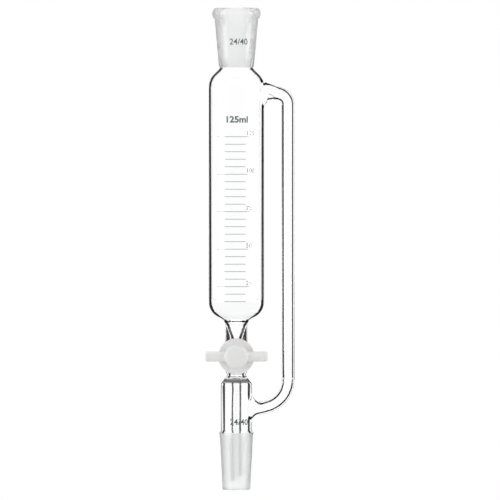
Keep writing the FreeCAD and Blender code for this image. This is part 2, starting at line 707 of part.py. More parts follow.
PLUG_FRONT = f"(dims.plug_radius + {HUB_BACK} / dims.plug_taper / 2)"
PLUG_BACK = f"(dims.plug_radius - {STEM_FOOT} / dims.plug_taper / 2)"
turning = new_sketch(plug, "plug_outline", "XY_Plane")
draw_outline(
    turning,
    [
        ("0", f"-{HUB_FACE}"),
        ("dims.hub_radius - dims.hub_round", f"-{HUB_FACE}"),
        ("dims.hub_radius", f"-({HUB_FACE} - dims.hub_round)"),
        ("dims.hub_radius", f"-{FLANGE_FACE}"),
        ("dims.flange_radius - dims.flange_round", f"-{FLANGE_FACE}"),
        ("dims.flange_radius", f"-({FLANGE_FACE} - dims.flange_round)"),
        ("dims.flange_radius", f"-({HUB_BACK} + dims.flange_round)"),
        ("dims.flange_radius - dims.flange_round", f"-{HUB_BACK}"),
        (PLUG_FRONT, f"-{HUB_BACK}"),
        (PLUG_BACK, STEM_FOOT),
        ("dims.stem_radius", STEM_FOOT),
        ("dims.stem_radius", f"{STEM_END} - dims.stem_chamfer"),
        ("dims.stem_radius - dims.stem_chamfer", STEM_END),
        ("0", STEM_END),
    ],
    arcs={1: "dims.hub_round", 4: "dims.flange_round", 6: "dims.flange_round"},
)
turned(plug, "plug_and_hub", turning)


def on_hub(point):
    """Whether a point lies on the hub's round side."""
    return abs(math.hypot(point.x, point.z) - value("dims.hub_radius")) < NEAR


rounded(
    plug, "bar_root", meeting_edges(plug.Tip.Shape, before_hub, on_hub), "dims.bar_root_round"
)
flange_root_centre = FreeCAD.Vector(0, -value(FLANGE_FACE), 0)
rounded(
    plug,
    "flange_root",
    ring_edges(plug.Tip.Shape, value("dims.hub_radius"), flange_root_centre),
    "dims.flange_root_round",
)

bore = new_sketch(plug, "bore_outline", "YZ_Plane")
draw_circle(bore, ("0", "0"), BORE_RADIUS)
straight(plug, "bore", bore, f"2 * {SEAT_FRONT}", cut=True, both_ways=True)

key = new_sketch(plug, "key_outline", "XZ_Plane", f"-{STEM_FOOT}")
draw_outline(
    key,
    [
        ("-dims.stem_radius", "dims.stem_flat"),
        ("dims.stem_radius", "dims.stem_flat"),
        ("dims.stem_radius", "dims.stem_radius"),
        ("-dims.stem_radius", "dims.stem_radius"),
    ],
)
straight(plug, "key_flat", key, f"{STEM_END} - {STEM_FOOT}", cut=True)

# Washer, keyed to the stem's flat so that it turns with the plug
washer = new_body("washer")
washer.setExpression(".Placement.Base.y", WASHER_SEAT)
washer.setExpression(".Placement.Base.z", STOPCOCK_AXIS)
disc = new_sketch(washer, "disc_outline", "XZ_Plane")
draw_circle(disc, ("0", "0"), "dims.washer_radius")
straight(washer, "disc", disc, "dims.washer_thickness", flip=True)
keyhole = new_sketch(washer, "keyhole_outline", "XZ_Plane")
draw_keyed_circle(
    keyhole, "dims.stem_radius + dims.stem_clearance", "dims.stem_flat + dims.stem_clearance"
)
straight(washer, "keyhole", keyhole, "dims.washer_thickness", cut=True)

# Rubber ring between washer and nut
ring = new_body("rubber_ring")
ring.setExpression(".Placement.Base.y", RING_SEAT)
ring.setExpression(".Placement.Base.z", STOPCOCK_AXIS)
section = new_sketch(ring, "ring_section_outline", "XY_Plane")
draw_circle(
    section,
    ("dims.stem_radius + dims.stem_clearance + dims.ring_section / 2", "dims.ring_section / 2"),
    "dims.ring_section / 2",
)
turned(ring, "ring", section)

# Nut that draws the plug into its seat
nut = new_body("nut")
nut.setExpression(".Placement.Base.y", NUT_SEAT)
nut.setExpression(".Placement.Base.z", STOPCOCK_AXIS)
nut_form = new_sketch(nut, "nut_outline", "XY_Plane")
NUT_BORE = "(dims.stem_radius + dims.nut_clearance)"
draw_outline(
    nut_form,
    [
        (NUT_BORE, "0"),
        ("dims.nut_boss_radius", "0"),
        ("dims.nut_boss_radius", "dims.nut_boss_height"),
        ("dims.nut_radius - dims.nut_round", "dims.nut_boss_height"),
        ("dims.nut_radius", "dims.nut_boss_height + dims.nut_round"),
        ("dims.nut_radius", "dims.nut_height - dims.nut_round"),
        ("dims.nut_radius - dims.nut_round", "dims.nut_height"),
        (NUT_BORE, "dims.nut_height"),
    ],
    arcs={3: "dims.nut_round", 5: "dims.nut_round"},
)
turned(nut, "nut_form", nut_form)
flute = new_sketch(nut, "flute_outline", "XZ_Plane")
draw_circle(
    flute, ("0", "dims.nut_radius + dims.flute_radius - dims.flute_depth"), "dims.flute_radius"
)
straight(nut, "flute", flute, "dims.nut_height", cut=True)
flutes = nut.newObject("PartDesign::PolarPattern", "flutes")
flutes.Originals = [doc.getObject("flute")]
flutes.Axis = (flute, ["N_Axis"])
flutes.Angle = 360
flutes.setExpression("Occurrences", "dims.flute_count")
before_flutes = nut.Shape.Volume
nut.Tip = flutes
settle(flutes, before_flutes, -1)

# Check of every object, then one file for each piece
doc.recompute()
for item in doc.Objects:
    if "Invalid" in item.State or "Error" in item.State:
        raise RuntimeError(f"{item.Label} is in error")
pieces = [glass, plug, washer, ring, nut]
for piece in pieces:
    if piece.Shape.isNull() or not piece.Shape.isValid() or len(piece.Shape.Solids) != 1:
        raise RuntimeError(f"{piece.Label} is not one sound solid")
os.makedirs("parts", exist_ok=True)
for piece in pieces:
    piece.Shape.exportStep(f"parts/{piece.Label}.step")
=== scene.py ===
import math

import bmesh
import bpy
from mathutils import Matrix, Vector


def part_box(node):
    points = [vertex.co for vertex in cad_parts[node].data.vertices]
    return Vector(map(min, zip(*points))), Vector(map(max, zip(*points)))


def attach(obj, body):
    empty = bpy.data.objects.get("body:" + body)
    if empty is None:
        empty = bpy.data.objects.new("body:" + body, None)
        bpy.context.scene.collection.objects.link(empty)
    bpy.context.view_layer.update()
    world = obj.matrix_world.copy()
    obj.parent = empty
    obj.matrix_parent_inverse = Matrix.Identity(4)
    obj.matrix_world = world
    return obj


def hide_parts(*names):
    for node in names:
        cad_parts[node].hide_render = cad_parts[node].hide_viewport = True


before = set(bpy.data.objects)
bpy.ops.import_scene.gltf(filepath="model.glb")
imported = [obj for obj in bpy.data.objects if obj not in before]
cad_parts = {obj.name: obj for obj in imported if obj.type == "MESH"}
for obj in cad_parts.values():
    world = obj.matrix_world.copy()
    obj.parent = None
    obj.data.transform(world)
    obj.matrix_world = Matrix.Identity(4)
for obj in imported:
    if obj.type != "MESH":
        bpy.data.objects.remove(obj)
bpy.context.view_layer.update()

MM = 0.001

# Heights above the lower joint's end, in millimetres
LIP_FOOT = 40.0
LIP_TOP = 41.2
JACKET_FOOT = 42.4
JACKET_CORNER = 76.7
STUB_FOOT = 86.0
STOPCOCK_AXIS = 96.7
NECK_CORNER = 122.7
SOCKET_FOOT = 305.5
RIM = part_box("glass_body")[1].z / MM

# Radii, in millimetres
JACKET_RADIUS = 11.25
RESERVOIR_RADIUS = 20.0
TAPER_SMALL = 10.0
TAPER_LARGE = 12.0
DRIP_TUBE_RADIUS = 4.0
ARM_OFFSET = 37.5
BARREL_FRONT_RADIUS = 9.2

# Camera: width and centre of what it frames at the funnel's axis, its lens and its sensor, all
# in millimetres, and how far it sees, in metres
FRAME_WIDTH = 362.3
FRAME_CENTRE_X = 9.86
FRAME_CENTRE_Z = 173.6
LENS = 600.0
SENSOR = 36.0
FAR_CLIP = 100.0

# Faces that meet at less than this angle, in degrees, are shaded as one curve, and points
# nearer to each other than this, in metres, are merged
SMOOTH_ANGLE = 32.0
GLASS_SMOOTH_ANGLE = 40.0
SAME_POINT = 1e-6


def deselect():
    bpy.ops.object.select_all(action="DESELECT")


def make_active(piece):
    deselect()
    piece.select_set(True)
    bpy.context.view_layer.objects.active = piece


def smooth(piece, angle=SMOOTH_ANGLE):
    make_active(piece)
    bpy.ops.object.shade_smooth_by_angle(angle=math.radians(angle))


def own_mesh(node, name, body, angle=SMOOTH_ANGLE):
    """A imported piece's form as a piece of its own, with its points merged and its curves smooth."""
    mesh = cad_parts[node].data.copy()
    mesh.name = name
    piece = bpy.data.objects.new(name, mesh)
    bpy.context.scene.collection.objects.link(piece)
    mesh.materials.clear()
    make_active(piece)
    bpy.ops.mesh.customdata_custom_splitnormals_clear()
    bpy.ops.object.mode_set(mode="EDIT")
    bpy.ops.mesh.select_all(action="SELECT")
    bpy.ops.mesh.remove_doubles(threshold=SAME_POINT)
    bpy.ops.object.mode_set(mode="OBJECT")
    smooth(piece, angle)
    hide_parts(node)
    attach(piece, body)
    return piece


# Shader node helpers

def new_material(name):
    material = bpy.data.materials.new(name)
    material.use_nodes = True
    material.node_tree.nodes.clear()
    return material


def add(tree, kind, **settings):
    node = tree.nodes.new(kind)
    for key, setting in settings.items():
        setattr(node, key, setting)
    return node


def maths(tree, operation, first, second=None, third=None, clamp=False):
    """Math node; a number goes on the socket and anything else is linked."""
    node = add(tree, "ShaderNodeMath", operation=operation, use_clamp=clamp)
    for socket, source in zip(node.inputs, (first, second, third)):
        if source is None:
            continue
        if isinstance(source, (int, float)):
            socket.default_value = source
        else:
            tree.links.new(source, socket)
    return node.outputs[0]


def between(tree, source, low, high, to_low=0.0, to_high=1.0):
    """Map Range node, smooth at both ends."""
    node = add(tree, "ShaderNodeMapRange", interpolation_type="SMOOTHSTEP")
    for name, source_or_number in (
        ("Value", source), ("From Min", low), ("From Max", high),
        ("To Min", to_low), ("To Max", to_high),
    ):
        if isinstance(source_or_number, (int, float)):
            node.inputs[name].default_value = source_or_number
        else:
            tree.links.new(source_or_number, node.inputs[name])
    return node.outputs[0]


def blend_colour(tree, share, low, high):
    node = add(tree, "ShaderNodeMix", data_type="RGBA")
    tree.links.new(share, node.inputs["Factor"])
    for name, colour in (("A", low), ("B", high)):
        socket = next(s for s in node.inputs if s.name == name and s.type == "RGBA")
        if isinstance(colour, tuple):
            socket.default_value = (*colour, 1.0)
        else:
            tree.links.new(colour, socket)
    return next(s for s in node.outputs if s.type == "RGBA")


def grain_group():
    """Fine grain: a mask from 0 to 1 and a height, both from Object coordinates."""
    group = bpy.data.node_groups.new("grain", "ShaderNodeTree")
    for name, start in (("Scale", 1000.0), ("Detail", 3.0), ("Contrast", 1.0)):
        socket = group.interface.new_socket(name, in_out="INPUT", socket_type="NodeSocketFloat")
        socket.default_value = start
    for name in ("Mask", "Height"):
        group.interface.new_socket(name, in_out="OUTPUT", socket_type="NodeSocketFloat")
    enter = add(group, "NodeGroupInput")
    leave = add(group, "NodeGroupOutput")
    place = add(group, "ShaderNodeTexCoord")
    noise = add(group, "ShaderNodeTexNoise")
    group.links.new(place.outputs["Object"], noise.inputs["Vector"])
    group.links.new(enter.outputs["Scale"], noise.inputs["Scale"])
    group.links.new(enter.outputs["Detail"], noise.inputs["Detail"])
    centred = maths(group, "SUBTRACT", noise.outputs["Fac"], 0.5)
    wide = maths(group, "MULTIPLY_ADD", centred, enter.outputs["Contrast"], 0.5, clamp=True)
    group.links.new(wide, leave.inputs["Mask"])
    group.links.new(noise.outputs["Fac"], leave.inputs["Height"])
    return group


GRAIN = grain_group()


def grain(tree, scale, detail, contrast):
    node = add(tree, "ShaderNodeGroup", node_tree=GRAIN)
    node.inputs["Scale"].default_value = scale
    node.inputs["Detail"].default_value = detail
    node.inputs["Contrast"].default_value = contrast
    return node


def bump(tree, height, strength, distance):
    node = add(tree, "ShaderNodeBump")
    node.inputs["Strength"].default_value = strength
    node.inputs["Distance"].default_value = distance
    tree.links.new(height, node.inputs["Height"])
    return node.outputs["Normal"]


def surface(tree, **settings):
    """Principled BSDF with its output; a socket's name is its words joined by _."""
    shader = add(tree, "ShaderNodeBsdfPrincipled")
    for key, setting in settings.items():
        socket = shader.inputs[key.replace("_", " ")]
        if isinstance(setting, tuple):
            socket.default_value = (*setting, 1.0)
        elif isinstance(setting, (int, float)):
            socket.default_value = setting
        else:
            tree.links.new(setting, socket)
    output = add(tree, "ShaderNodeOutputMaterial")
    tree.links.new(shader.outputs["BSDF"], output.inputs["Surface"])
    return shader


def slant_squared(tree):
    """Squared sine of the angle between view and surface: 0 face on, 1 at a tube's edge."""
    facing = add(tree, "ShaderNodeLayerWeight")
    facing.inputs["Blend"].default_value = 0.5
    straight = maths(tree, "SUBTRACT", 1.0, facing.outputs["Facing"])
    return maths(tree, "SUBTRACT", 1.0, maths(tree, "MULTIPLY", straight, straight), clamp=True)


def slant(tree):
    return maths(tree, "SQRT", slant_squared(tree))


def share_across(tree):
    """How far out on its tube a point is seen, from 0 on the axis to 1 at the edge."""
    place = add(tree, "ShaderNodeTexCoord")
    axis = add(tree, "ShaderNodeAttribute", attribute_name="tube_axis")
    along = add(tree, "ShaderNodeVectorMath", operation="DOT_PRODUCT")
    tree.links.new(place.outputs["Normal"], along.inputs[0])
    tree.links.new(axis.outputs["Vector"], along.inputs[1])
    rise = maths(tree, "MULTIPLY", along.outputs["Value"], along.outputs["Value"])
    level = maths(tree, "MAXIMUM", maths(tree, "SUBTRACT", 1.0, rise), LEAST_LEVEL)
    towards = maths(tree, "SUBTRACT", 1.0, slant_squared(tree))
    inner = maths(tree, "DIVIDE", towards, level)
    return maths(tree, "SQRT", maths(tree, "SUBTRACT", 1.0, inner, clamp=True))


def attribute(tree, name):
    return add(tree, "ShaderNodeAttribute", attribute_name=name).outputs["Fac"]


# Materials

# Half the width of a line's soft edge, the power that makes a depth look as dark as it says,
# and the least that a normal's squared part across its tube is taken to be
LINE_SOFTNESS = 0.012
EYE_CURVE = 4.4
LEAST_LEVEL = 0.03
GLASS_REFRACTION = 1.47

# How much the grain changes a roughness or a colour
GRIT_ROUGHNESS = 0.12
TOOL_FINISH = 0.14
PLASTIC_MOTTLE = 0.03

# Colours; a pair is what the grain goes between
WHITE = (1.0, 1.0, 1.0)
BLACK = (0.0, 0.0, 0.0)
GLASS_STREAK = (0.985, 0.99, 0.988)
GRIT_COLOURS = ((0.93, 0.935, 0.935), (0.99, 0.995, 0.995))
GROUND_CLOUD = (0.97, 0.975, 0.975)
# Painted shade that greys ground glass where it is seen at a slant
GROUND_SLANT_SHADE = (0.68, 0.685, 0.69)
RUBBER_COLOURS = ((0.020, 0.020, 0.021), (0.036, 0.036, 0.037))
ENAMEL_COLOURS = ((0.075, 0.105, 0.092), (0.12, 0.155, 0.14))


def past(tree, share, threshold):
    """Soft step where the share passes a threshold."""
    return between(
        tree, share, maths(tree, "SUBTRACT", threshold, LINE_SOFTNESS),
        maths(tree, "ADD", threshold, LINE_SOFTNESS),
    )


def band(tree, share, name):
    """Painted shade: a dark band between two shares, from a line's start, end and depth at each
    point.
    """
    inside = maths(
        tree, "SUBTRACT", past(tree, share, attribute(tree, name + "_start")),
        past(tree, share, attribute(tree, name + "_end")), clamp=True,
    )
    return maths(tree, "MULTIPLY", inside, attribute(tree, name + "_depth"))


def clear_glass(name, refraction):
    """Borosilicate glass. Each tube's wall shows as a dark line near the tube's edge, painted shade
    in the base colour.
    """
    material = new_material(name)
    tree = material.node_tree
    share = share_across(tree)
    wall = band(tree, share, "line")
    rim = band(tree, share, "rim")
    inside = add(tree, "ShaderNodeNewGeometry").outputs["Backfacing"]
    # Painted shade: the line and the rim darken the base colour, except on faces seen from inside
    painted_shade = maths(
        tree, "MULTIPLY", maths(tree, "MAXIMUM", wall, rim), maths(tree, "SUBTRACT", 1.0, inside)
    )
    light = maths(tree, "POWER", maths(tree, "SUBTRACT", 1.0, painted_shade, clamp=True), EYE_CURVE)
    streaks = grain(tree, scale=60.0, detail=2.0, contrast=0.6)
    tint = blend_colour(tree, streaks.outputs["Mask"], GLASS_STREAK, WHITE)
    colour = blend_colour(tree, light, BLACK, tint)
    surface(tree, Base_Color=colour, Roughness=0.0, IOR=refraction, Transmission_Weight=1.0)
    return material


def ground_glass():
    """Glass ground with fine grit: white, with painted shade that makes it greyer where it is seen at
    a slant.
    """
    material = new_material("ground_glass")
    tree = material.node_tree
    tilt = slant(tree)
    grit = grain(tree, scale=2600.0, detail=4.0, contrast=1.6)
    cloud = grain(tree, scale=130.0, detail=3.0, contrast=1.2)
    flat = blend_colour(tree, grit.outputs["Mask"], *GRIT_COLOURS)
    clouded = blend_colour(tree, cloud.outputs["Mask"], flat, GROUND_CLOUD)
    # Painted shade: greyer as the face turns away from the view
    painted_slant_shade = between(tree, tilt, low=0.5, high=1.0)
    colour = blend_colour(tree, painted_slant_shade, clouded, GROUND_SLANT_SHADE)
    rough = maths(tree, "MULTIPLY_ADD", grit.outputs["Mask"], GRIT_ROUGHNESS, third=0.5)
    surface(
        tree, Base_Color=colour, Roughness=rough, IOR=GLASS_REFRACTION, Transmission_Weight=0.85,
        Normal=bump(tree, grit.outputs["Height"], strength=0.25, distance=0.00004),
    )
    return material


def moulded_plastic(name, colour, roughness):
    """Waxy white plastic with a faint mottle and a fine tool finish."""
    material = new_material(name)
    tree = material.node_tree
    fine = grain(tree, scale=900.0, detail=4.0, contrast=1.2)
    broad = grain(tree, scale=90.0, detail=2.0, contrast=1.4)
    darker = tuple(part * (1.0 - PLASTIC_MOTTLE) for part in colour)
    shade = blend_colour(tree, broad.outputs["Mask"], darker, colour)
    smoothest = roughness - TOOL_FINISH / 2.0
    rough = maths(tree, "MULTIPLY_ADD", fine.outputs["Mask"], TOOL_FINISH, smoothest)
    surface(
        tree, Base_Color=shade, Roughness=rough, IOR=1.38, Subsurface_Weight=0.25,
        Subsurface_Scale=0.0012,
        Normal=bump(tree, fine.outputs["Height"], strength=0.3, distance=0.00003),
    )
    return material


def ring_rubber():
    """Matt black rubber with a fine grain."""
    material = new_material("ring_rubber")
    tree = material.node_tree
    fine = grain(tree, scale=1500.0, detail=4.0, contrast=1.4)
    shade = blend_colour(tree, fine.outputs["Mask"], *RUBBER_COLOURS)
    surface(
        tree, Base_Color=shade, Roughness=0.55, IOR=1.5,
        Normal=bump(tree, fine.outputs["Height"], strength=0.3, distance=0.00003),
    )
    return material


def enamel():
    """Fired grey-green enamel, a little worn."""
    material = new_material("enamel")
    tree = material.node_tree
    wear = grain(tree, scale=1800.0, detail=3.0, contrast=1.5)
    shade = blend_colour(tree, wear.outputs["Mask"], *ENAMEL_COLOURS)
    surface(tree, Base_Color=shade, Roughness=0.5, IOR=1.5)
    return material


CLEAR = clear_glass("clear_glass", GLASS_REFRACTION)
FUSED = clear_glass("fused_glass", refraction=1.0)
GROUND = ground_glass()
HANDLE_PLASTIC = moulded_plastic("handle_plastic", (0.82, 0.82, 0.815), roughness=0.42)
NUT_PLASTIC = moulded_plastic("nut_plastic", (0.78, 0.78, 0.775), roughness=0.48)
WASHER_PLASTIC = moulded_plastic("washer_plastic", (0.80, 0.80, 0.79), roughness=0.5)
RUBBER = ring_rubber()
ENAMEL = enamel()


# Glass body

# A wall is seen as a painted dark line between two shares of its tube's radius, and a fainter
# painted rim outside it as a second one: painted shade for the darkness that refraction gives at
# glass edges. NEVER is past every share, so nothing shows there. BARE shows nothing either,
# because its line ends where it starts.
NEVER = 2.0
NO_RIM = (NEVER, NEVER)
BARE = (0.8, 0.8) + NO_RIM
EVERYWHERE = (-1.0, NEVER) + NO_RIM
DRIP_LINE = (0.57, 0.86) + NO_RIM
JACKET_LINE = (0.735, 0.86, 0.975, NEVER)
STUB_LINE = (0.60, 0.80) + NO_RIM
BARREL_LINE = (0.8, 1.0) + NO_RIM
# How dark the painted shade of the line and of the rim is
LINE_DEPTH = 0.92
RIM_DEPTH = 0.35

# Reservoir: how far inside its edge the line starts and ends, in millimetres, and the least
# level part that a face's normal is taken to have there
WALL_LINE = (1.65, 0.38)
LEAST_LEVEL_PART = 0.35

# Slack for telling on which tube a point lies, in millimetres, and for which way a face looks
TUBE_SLACK = 0.2
HEIGHT_SLACK = 0.01
WALL_SLACK = 0.05
OUTER_FACE = 0.05
DRIP_OUTER_FACE = 0.2
DRIP_REACH = 2.0
BARREL_REACH = 1.0

# Side arm: half its line's width, middles of its two bends, how fast a turning face goes from
# the loop's inner look to its outer one, and the middle of the line on either side, by height
# and, above the high bend's middle, by distance from the main axis
ARM_HALF_LINE = 0.115
LOW_BEND = (17.5, 79.6)
HIGH_BEND = (29.5, 279.2)
SIDE_SWING = 0.7
INNER_BY_HEIGHT = ((62.0, 0.64), (92.0, 0.79), (200.0, 0.79))
OUTER_BY_HEIGHT = ((62.0, 0.66), (92.0, 0.67), (200.0, 0.67))
INNER_BY_REACH = (
    (20.7, 0.50), (22.0, 0.62), (24.0, 0.70), (28.3, 0.80), (31.0, 0.85), (33.0, 0.79),
)
OUTER_BY_REACH = ((21.1, 0.95), (24.0, 0.87), (28.3, 0.78), (33.0, 0.74), (38.0, 0.67))

# How much finer the line is on the arm's flares, by distance from the wall
FLARE_SPREAD = ((0.0, 1.3), (1.2, 1.25), (3.5, 1.15), (6.0, 1.05), (9.0, 1.0))

# Its two mouths: lowest and highest point with no line, radius of the wall and slope in degrees
FOOT_MOUTH = (53.2, 65.0, JACKET_RADIUS, 15.0)
TOP_MOUTH = (280.0, 292.2, RESERVOIR_RADIUS, -17.0)

# How far a mouth reaches into the wall, below it and above it, over what height it fades, how
# near its middle height the axis turns over, and how far in from the wall's edge lines stop
MOUTH_INSIDE = 0.9
MOUTH_BELOW = 2.0
MOUTH_ABOVE = 4.5
MOUTH_EDGE = 1.5
MOUTH_TURN = 2.0
MOUTH_WIDTH = 4.0

# How far out the side arm has an axis, and the least length that an axis is taken to have
AXIS_REACH = ARM_OFFSET - 15.0
LEAST_AXIS = 0.5

# Glass that is fused so smoothly that it bends no light: how far it goes inside a mouth and
# past it, and between which heights it is in the seal and in the neck
FUSED_INSIDE = 2.7
FUSED_REACH = 4.5
SEAL_FUSED = (78.0, 87.0)
NECK_FUSED = (106.0, 138.0)

# How far past the ground cones a ground face may lie, and how much it has to look out or in
GROUND_INSIDE = 1.0
GROUND_OUTSIDE = 2.0
STEEP_FACE = 0.5

# Floor and neck by height: where their lines of painted shade start and end, in millimetres from
# the axis. The painted line of the bore's cone has one width, and the painted wedge outside it ends
# at one distance.
FLOOR_STARTS = (
    (123.4, 8.6), (124.7, 10.4), (127.0, 13.4), (129.0, 15.5), (131.0, 16.8), (134.0, 17.85),
    (138.0, 18.35),
)
FLOOR_ENDS = (
    (123.4, 13.0), (124.7, 13.3), (127.0, 16.1), (129.0, 17.85), (131.0, 18.85), (134.0, 19.5),
    (138.0, 19.62),
)
CONE_SHOWN = (
    (105.0, 0.9), (110.5, 2.0), (111.7, 2.4), (113.8, 3.25), (116.0, 3.95), (118.2, 4.55),
    (120.4, 5.6), (122.5, 7.0),
)
CONE_LINE = 1.9
WEDGE_SHOWN = ((105.0, 3.6), (110.5, 4.55), (111.7, 4.9), (113.8, 5.6), (116.0, 6.3), (118.2, 7.4))
WEDGE_END = 7.35
NECK_TOP = 123.3

# By height: how dark the band of painted shade shows at the seal where the drip tube is fused to the
# jacket
SEAL_SHOWN = (
    (77.1, 0.0), (77.3, 0.33), (78.3, 0.40), (79.0, 0.55), (79.5, 0.58), (80.0, 0.42), (80.4, 0.3),
    (80.7, 0.0),
)
SEAL_FOOT = SEAL_SHOWN[0][0]
SEAL_TOP = SEAL_SHOWN[-1][0]
STUB_LINE_FOOT = 80.9

# Heights and distances at which the glass gets more points
RINGS = [JACKET_FOOT + 1.0, 92.0, 105.0, 108.0, 123.2, 123.5, 124.7, 126.0, 127.0, 129.0, 131.0]
RINGS += [STUB_LINE_FOOT, 81.2, 84.2, 87.0, 134.0, 138.0, 200.0, 262.0]
for first, step, count in ((109.5, 1.25, 11), (46.0, 1.5, 20), (272.0, 1.5, 18)):
    RINGS += [first + step * index for index in range(count)]
RINGS += [height for height, depth in SEAL_SHOWN]
SLICES = [8.6, 10.0, 11.25, 12.4, 13.5, 14.6, 16.7, 18.0, 19.0, 20.0, 21.1, 22.0, 24.0, 26.0, 28.3]


def held(number, low=0.0, high=1.0):
    """Number kept between two limits."""
    return min(max(number, low), high)


def add_points(mesh):
    """Adds points where the look of the wall changes."""
    form = bmesh.new()
    form.from_mesh(mesh)
    cuts = [((0, 0, height * MM), (0, 0, 1)) for height in RINGS]
    cuts += [((width * MM, 0, 0), (1, 0, 0)) for width in SLICES]
    for place, way in cuts:
        bmesh.ops.bisect_plane(
            form, geom=form.verts[:] + form.edges[:] + form.faces[:], plane_co=place, plane_no=way
        )
    form.to_mesh(mesh)
    form.free()


def shown_at(place, steps):
    """Value at a place, in between those of a list of places and values."""
    for (low, first), (high, last) in zip(steps, steps[1:]):
        if place <= high:
            return first + (last - first) * max(place - low, 0.0) / (high - low)
    return steps[-1][1]


def outwardness(place, normal):
    """Distance from the main axis, and how much a face looks away from that axis."""
    radius = max(math.hypot(place.x, place.y), 1e-3)
    return radius, (normal.x * place.x + normal.y * place.y) / radius


def near_mouth(place):
    """The side arm's mouth that is in the same half of the funnel as a point."""
    return FOOT_MOUTH if place.z < NECK_CORNER else TOP_MOUTH


def on_arm(place):
    """Whether a point lies on the side arm, outside the wall that it grows from."""
    return place.x > near_mouth(place)[2] + WALL_SLACK


def loop_side(place, normal):
    """From 0 on the inner side of the side arm's loop to 1 on its outer side."""
    x, y, z = place
    outward = Vector((1.0, 0.0))
    if z < LOW_BEND[1]:
        outward = Vector((x, z)) - Vector(LOW_BEND)
    elif z > HIGH_BEND[1]:
        outward = Vector((x, z)) - Vector(HIGH_BEND)
    outward.normalize()
    side = normal.x * outward.x + normal.z * outward.y
    return held(0.5 + SIDE_SWING * side)


def arm_line(place, normal):
    """Shares between which the side arm's painted shade line is seen."""
    x, y, z = place
    if z < HIGH_BEND[1]:
        inner, outer = shown_at(z, INNER_BY_HEIGHT), shown_at(z, OUTER_BY_HEIGHT)
    else:
        inner, outer = shown_at(x, INNER_BY_REACH), shown_at(x, OUTER_BY_REACH)
    middle = inner + (outer - inner) * loop_side(place, normal)
    half = ARM_HALF_LINE / shown_at(x - near_mouth(place)[2], FLARE_SPREAD)
    return (middle - half, middle + half)


def mouth_share(place):
    """From 0 on the wall that the side arm grows from to 1 on the arm."""
    low, high, radius, slope = near_mouth(place)
    if on_arm(place):
        return 1.0
    inside = (place.x - radius + MOUTH_INSIDE) / MOUTH_INSIDE
    above = (place.z - low + MOUTH_BELOW) / MOUTH_EDGE
    below = (high + MOUTH_ABOVE - place.z) / MOUTH_EDGE
    return held(inside) * held(min(above, below))


def tube_axis(place):
    """Axis about which the tube at this point is round; none far out on the side arm."""
    low, high, radius, slope = near_mouth(place)
    if place.x > AXIS_REACH:
        return Vector((0.0, 0.0, 0.0))
    share = mouth_share(place)
    if share == 0.0:
        return Vector((0.0, 0.0, 1.0))
    angle = math.radians(slope)
    arm = Vector((math.cos(angle), 0.0, math.sin(angle)))
    turn = held((low + high) / 2.0 - place.z, -MOUTH_TURN, MOUTH_TURN) / MOUTH_TURN
    axis = arm * share + Vector((0.0, 0.0, turn * (1.0 - share)))
    return axis / max(axis.length, LEAST_AXIS)


def mouth_gap(place):
    """How much of a line is left near a mouth, from 0 in front of it to 1."""
    low, high, radius, slope = near_mouth(place)
    if not radius - MOUTH_WIDTH < place.x < radius + WALL_SLACK:
        return 1.0
    return held(max(low - place.z, place.z - high) / MOUTH_EDGE)


def narrowed(start, end, share):
    """Line with only a share of its width left."""
    middle = (start + end) / 2.0
    return (middle + (start - middle) * share, middle + (end - middle) * share)


def round_wall_line(place, normal):
    """Shares for the painted shade line and rim of the drip tube, jacket, neck and reservoir."""
    z = place.z
    radius, outward = outwardness(place, normal)
    if radius < DRIP_TUBE_RADIUS + TUBE_SLACK and z < JACKET_CORNER + DRIP_REACH:
        return DRIP_LINE if outward > DRIP_OUTER_FACE else BARE
    if outward < OUTER_FACE or z < LIP_FOOT or z > SOCKET_FOOT:
        return BARE
    if z < SEAL_FOOT + HEIGHT_SLACK:
        return JACKET_LINE
    if z < SEAL_TOP + HEIGHT_SLACK:
        return EVERYWHERE
    if z < STUB_FOOT:
        return STUB_LINE
    if abs(z - STOPCOCK_AXIS) < BARREL_FRONT_RADIUS + BARREL_REACH:
        return BARREL_LINE
    if z < NECK_TOP:
        cone = shown_at(z, CONE_SHOWN)
        wedge = shown_at(z, WEDGE_SHOWN)
        return tuple(width / radius for width in (cone, cone + CONE_LINE, wedge, WEDGE_END))
    if z < FLOOR_STARTS[-1][0]:
        return (shown_at(z, FLOOR_STARTS) / radius, shown_at(z, FLOOR_ENDS) / radius) + NO_RIM
    level = max(math.hypot(normal.x, normal.y), LEAST_LEVEL_PART)
    return tuple(1.0 - part / (level * radius) for part in WALL_LINE) + NO_RIM


def wall_line(place, normal):
    """Shares between which the wall's painted shade line and the painted rim outside it are seen at
    this point.
    """
    share = mouth_share(place)
    inner_face = normal.y * place.y < 0.0
    if share > 0.0 and inner_face:
        return BARE
    if on_arm(place):
        return arm_line(place, normal) + NO_RIM
    start, end, rim_start, rim_end = round_wall_line(place, normal)
    if share > 0.0:
        arm_start, arm_end = arm_line(place, normal)
        start += (arm_start - start) * share
        end += (arm_end - end) * share
    return narrowed(start, end, mouth_gap(place)) + (rim_start, rim_end)


def line_depth(z):
    """How dark the wall's painted shade line and the painted rim outside it are, from 0 to 1."""
    if SEAL_FOOT < z < SEAL_TOP:
        return (shown_at(z, SEAL_SHOWN), RIM_DEPTH)
    if SEAL_TOP <= z < STUB_LINE_FOOT + HEIGHT_SLACK:
        return (0.0, 0.0)
    in_neck = CONE_SHOWN[0][0] < z < NECK_TOP
    return (LINE_DEPTH, LINE_DEPTH if in_neck else RIM_DEPTH)


GLASS_KINDS = (CLEAR, GROUND, FUSED)


